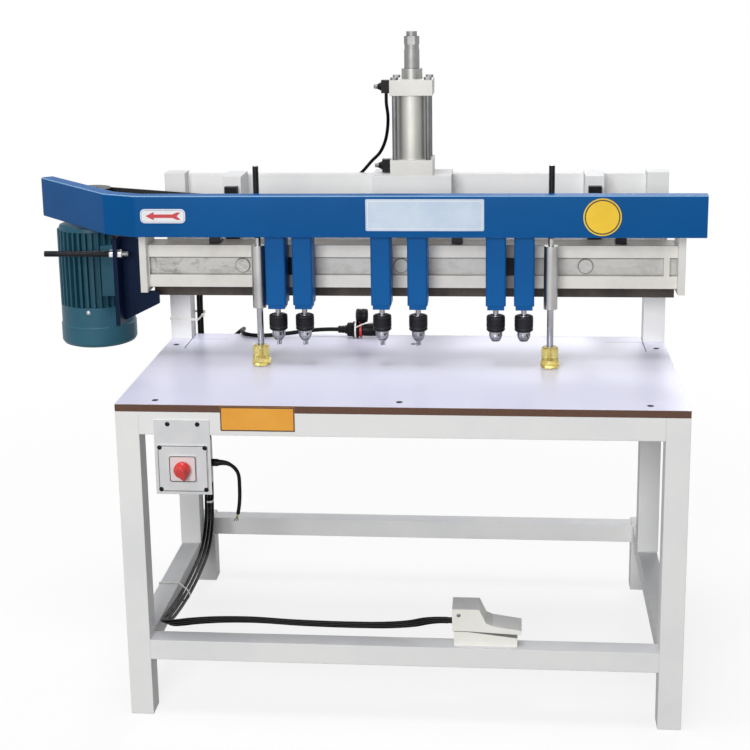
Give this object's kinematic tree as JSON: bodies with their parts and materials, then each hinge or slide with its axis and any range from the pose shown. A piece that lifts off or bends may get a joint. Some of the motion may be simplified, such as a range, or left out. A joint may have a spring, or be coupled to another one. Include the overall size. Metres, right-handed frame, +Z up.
{
  "type": "line boring machine",
  "caption": "Bench-high boring machine: tube table, boring beam with belt-driven chuck heads moved by an air cylinder, side motor, blue belt cover, spring presses and foot valve.",
  "frame": {"origin": "under the middle of the machine's box, at floor level, cords left out", "axes": "+X along the beam to the operator's right, +Y from the operator to the rear, +Z up"},
  "size_m": [1.564, 0.8052, 1.4573],
  "materials": {
    "frame_paint": "off-white paint, slightly worn",
    "laminate": "white laminate with a brown edge",
    "screw_steel": "zinc plated, dull",
    "rail_black": "black oxide",
    "cap_paint": "pale paint",
    "barrel_aluminium": "anodised, satin",
    "bright_steel": "machined",
    "chrome_rod": "hard chrome",
    "black_plastic": "moulded, matt",
    "grey_plastic": "light grey, satin",
    "red_plastic": "red, satin",
    "notice_orange": "plain plate",
    "cast_metal": "bare casting",
    "hose_rubber": "smooth",
    "blue_paint": "mid blue, satin",
    "teal_paint": "teal, semi-gloss",
    "navy_paint": "dark blue, satin",
    "pad_yellow": "translucent polyurethane",
    "spring_steel": "spring wire",
    "chuck_steel": "knurled sleeve and bright nose",
    "label_white": "plain film",
    "belt_rubber": "ribbed",
    "cowl_paint": "teal, semi-gloss"
  },
  "bodies": {
    "frame": {"worktop": "laminate", "frame_screws": "screw_steel", "front_legs": "frame_paint", "top_rails": "frame_paint", "stretchers": "frame_paint", "rear_feet": "frame_paint", "columns": "frame_paint", "crossbeam": "frame_paint", "guide_posts": "frame_paint", "guide_rails": "rail_black", "cylinder_bracket": "frame_paint", "cylinder_caps": "cap_paint", "cylinder_barrel": "barrel_aluminium", "tie_rods": "bright_steel", "flow_fittings": "black_plastic", "switch_box": "grey_plastic", "notice_plate": "notice_orange", "pedal_base": "cast_metal", "hose_and_cord_fittings": "black_plastic", "air_hoses": "hose_rubber", "switch_lead": "hose_rubber", "mains_lead": "hose_rubber", "mains_plug": "black_plastic"},
    "boring_beam": {"beam": "frame_paint", "beam_end_plates": "frame_paint", "guide_carriages": "bright_steel", "lift_arm": "frame_paint", "piston_rod": "chrome_rod", "stop_sleeve": "bright_steel", "press_tubes": "bright_steel", "press_spring_left": "spring_steel", "press_spring_right": "spring_steel", "boring_heads": "blue_paint", "spindle_bearings": "bright_steel", "motor_body": "teal_paint", "motor_cowl": "cowl_paint", "motor_bracket": "navy_paint", "bracket_bolts": "rail_black", "drive_belts": "belt_rubber", "belt_cover": "blue_paint", "cover_labels": "label_white"},
    "knob": {"switch_knob": "red_plastic"},
    "pedal": {"pedal_tread": "cast_metal"},
    "press_left": {"press_rod_left": "chrome_rod", "press_pad_left": "pad_yellow"},
    "press_right": {"press_rod_right": "chrome_rod", "press_pad_right": "pad_yellow"},
    "motor_rotor": {"motor_shaft": "bright_steel"},
    "head_1": {"spindle_1": "bright_steel", "chuck_1": "chuck_steel"},
    "head_2": {"spindle_2": "bright_steel", "chuck_2": "chuck_steel"},
    "head_3": {"spindle_3": "bright_steel", "chuck_3": "chuck_steel"},
    "head_4": {"spindle_4": "bright_steel", "chuck_4": "chuck_steel"},
    "head_5": {"spindle_5": "bright_steel", "chuck_5": "chuck_steel"},
    "head_6": {"spindle_6": "bright_steel", "chuck_6": "chuck_steel"}
  },
  "joints": [
    {"name": "beam_lift", "type": "slide", "parent": "frame", "child": "boring_beam", "axis": [0, 0, 1], "range_m": [0, 0.075]},
    {"name": "switch_turn", "type": "hinge", "parent": "frame", "child": "knob", "pos_m": [-0.332, -0.37535, 0.5755], "axis": [0, -1, 0], "range_deg": [-45, 45]},
    {"name": "pedal_press", "type": "hinge", "parent": "frame", "child": "pedal", "pos_m": [0.25, -0.32435, 0.247], "axis": [0, 1, 0], "range_deg": [0, 3.4], "stiffness_Nm_per_rad": 20, "springref_deg": -2.86},
    {"name": "press_left_slide", "type": "slide", "parent": "boring_beam", "child": "press_left", "axis": [0, 0, 1], "range_m": [0, 0.025], "stiffness_N_per_m": 3000, "springref_m": -0.01, "deforming": ["press_spring_left"]},
    {"name": "press_right_slide", "type": "slide", "parent": "boring_beam", "child": "press_right", "axis": [0, 0, 1], "range_m": [0, 0.025], "stiffness_N_per_m": 3000, "springref_m": -0.01, "deforming": ["press_spring_right"]},
    {"name": "motor_spin", "type": "hinge", "parent": "boring_beam", "child": "motor_rotor", "pos_m": [-0.64, 0.13265, 0.9], "axis": [0, 0, 1], "continuous": true},
    {"name": "spindle_1_spin", "type": "hinge", "parent": "boring_beam", "child": "head_1", "pos_m": [-0.17, -0.04735, 0.9], "axis": [0, 0, 1], "continuous": true},
    {"name": "spindle_2_spin", "type": "hinge", "parent": "boring_beam", "child": "head_2", "pos_m": [-0.109, -0.04735, 0.9], "axis": [0, 0, 1], "continuous": true},
    {"name": "spindle_3_spin", "type": "hinge", "parent": "boring_beam", "child": "head_3", "pos_m": [0.068, -0.04735, 0.9], "axis": [0, 0, 1], "continuous": true},
    {"name": "spindle_4_spin", "type": "hinge", "parent": "boring_beam", "child": "head_4", "pos_m": [0.15, -0.04735, 0.9], "axis": [0, 0, 1], "continuous": true},
    {"name": "spindle_5_spin", "type": "hinge", "parent": "boring_beam", "child": "head_5", "pos_m": [0.325, -0.04735, 0.9], "axis": [0, 0, 1], "continuous": true},
    {"name": "spindle_6_spin", "type": "hinge", "parent": "boring_beam", "child": "head_6", "pos_m": [0.388, -0.04735, 0.9], "axis": [0, 0, 1], "continuous": true}
  ],
  "couplings": [
    {"joint": "spindle_1_spin", "follows": "motor_spin", "ratio": 1.8261},
    {"joint": "spindle_2_spin", "follows": "motor_spin", "ratio": 1.8261},
    {"joint": "spindle_3_spin", "follows": "motor_spin", "ratio": 1.8261},
    {"joint": "spindle_4_spin", "follows": "motor_spin", "ratio": 1.8261},
    {"joint": "spindle_5_spin", "follows": "motor_spin", "ratio": 1.8261},
    {"joint": "spindle_6_spin", "follows": "motor_spin", "ratio": 1.8261}
  ]
}
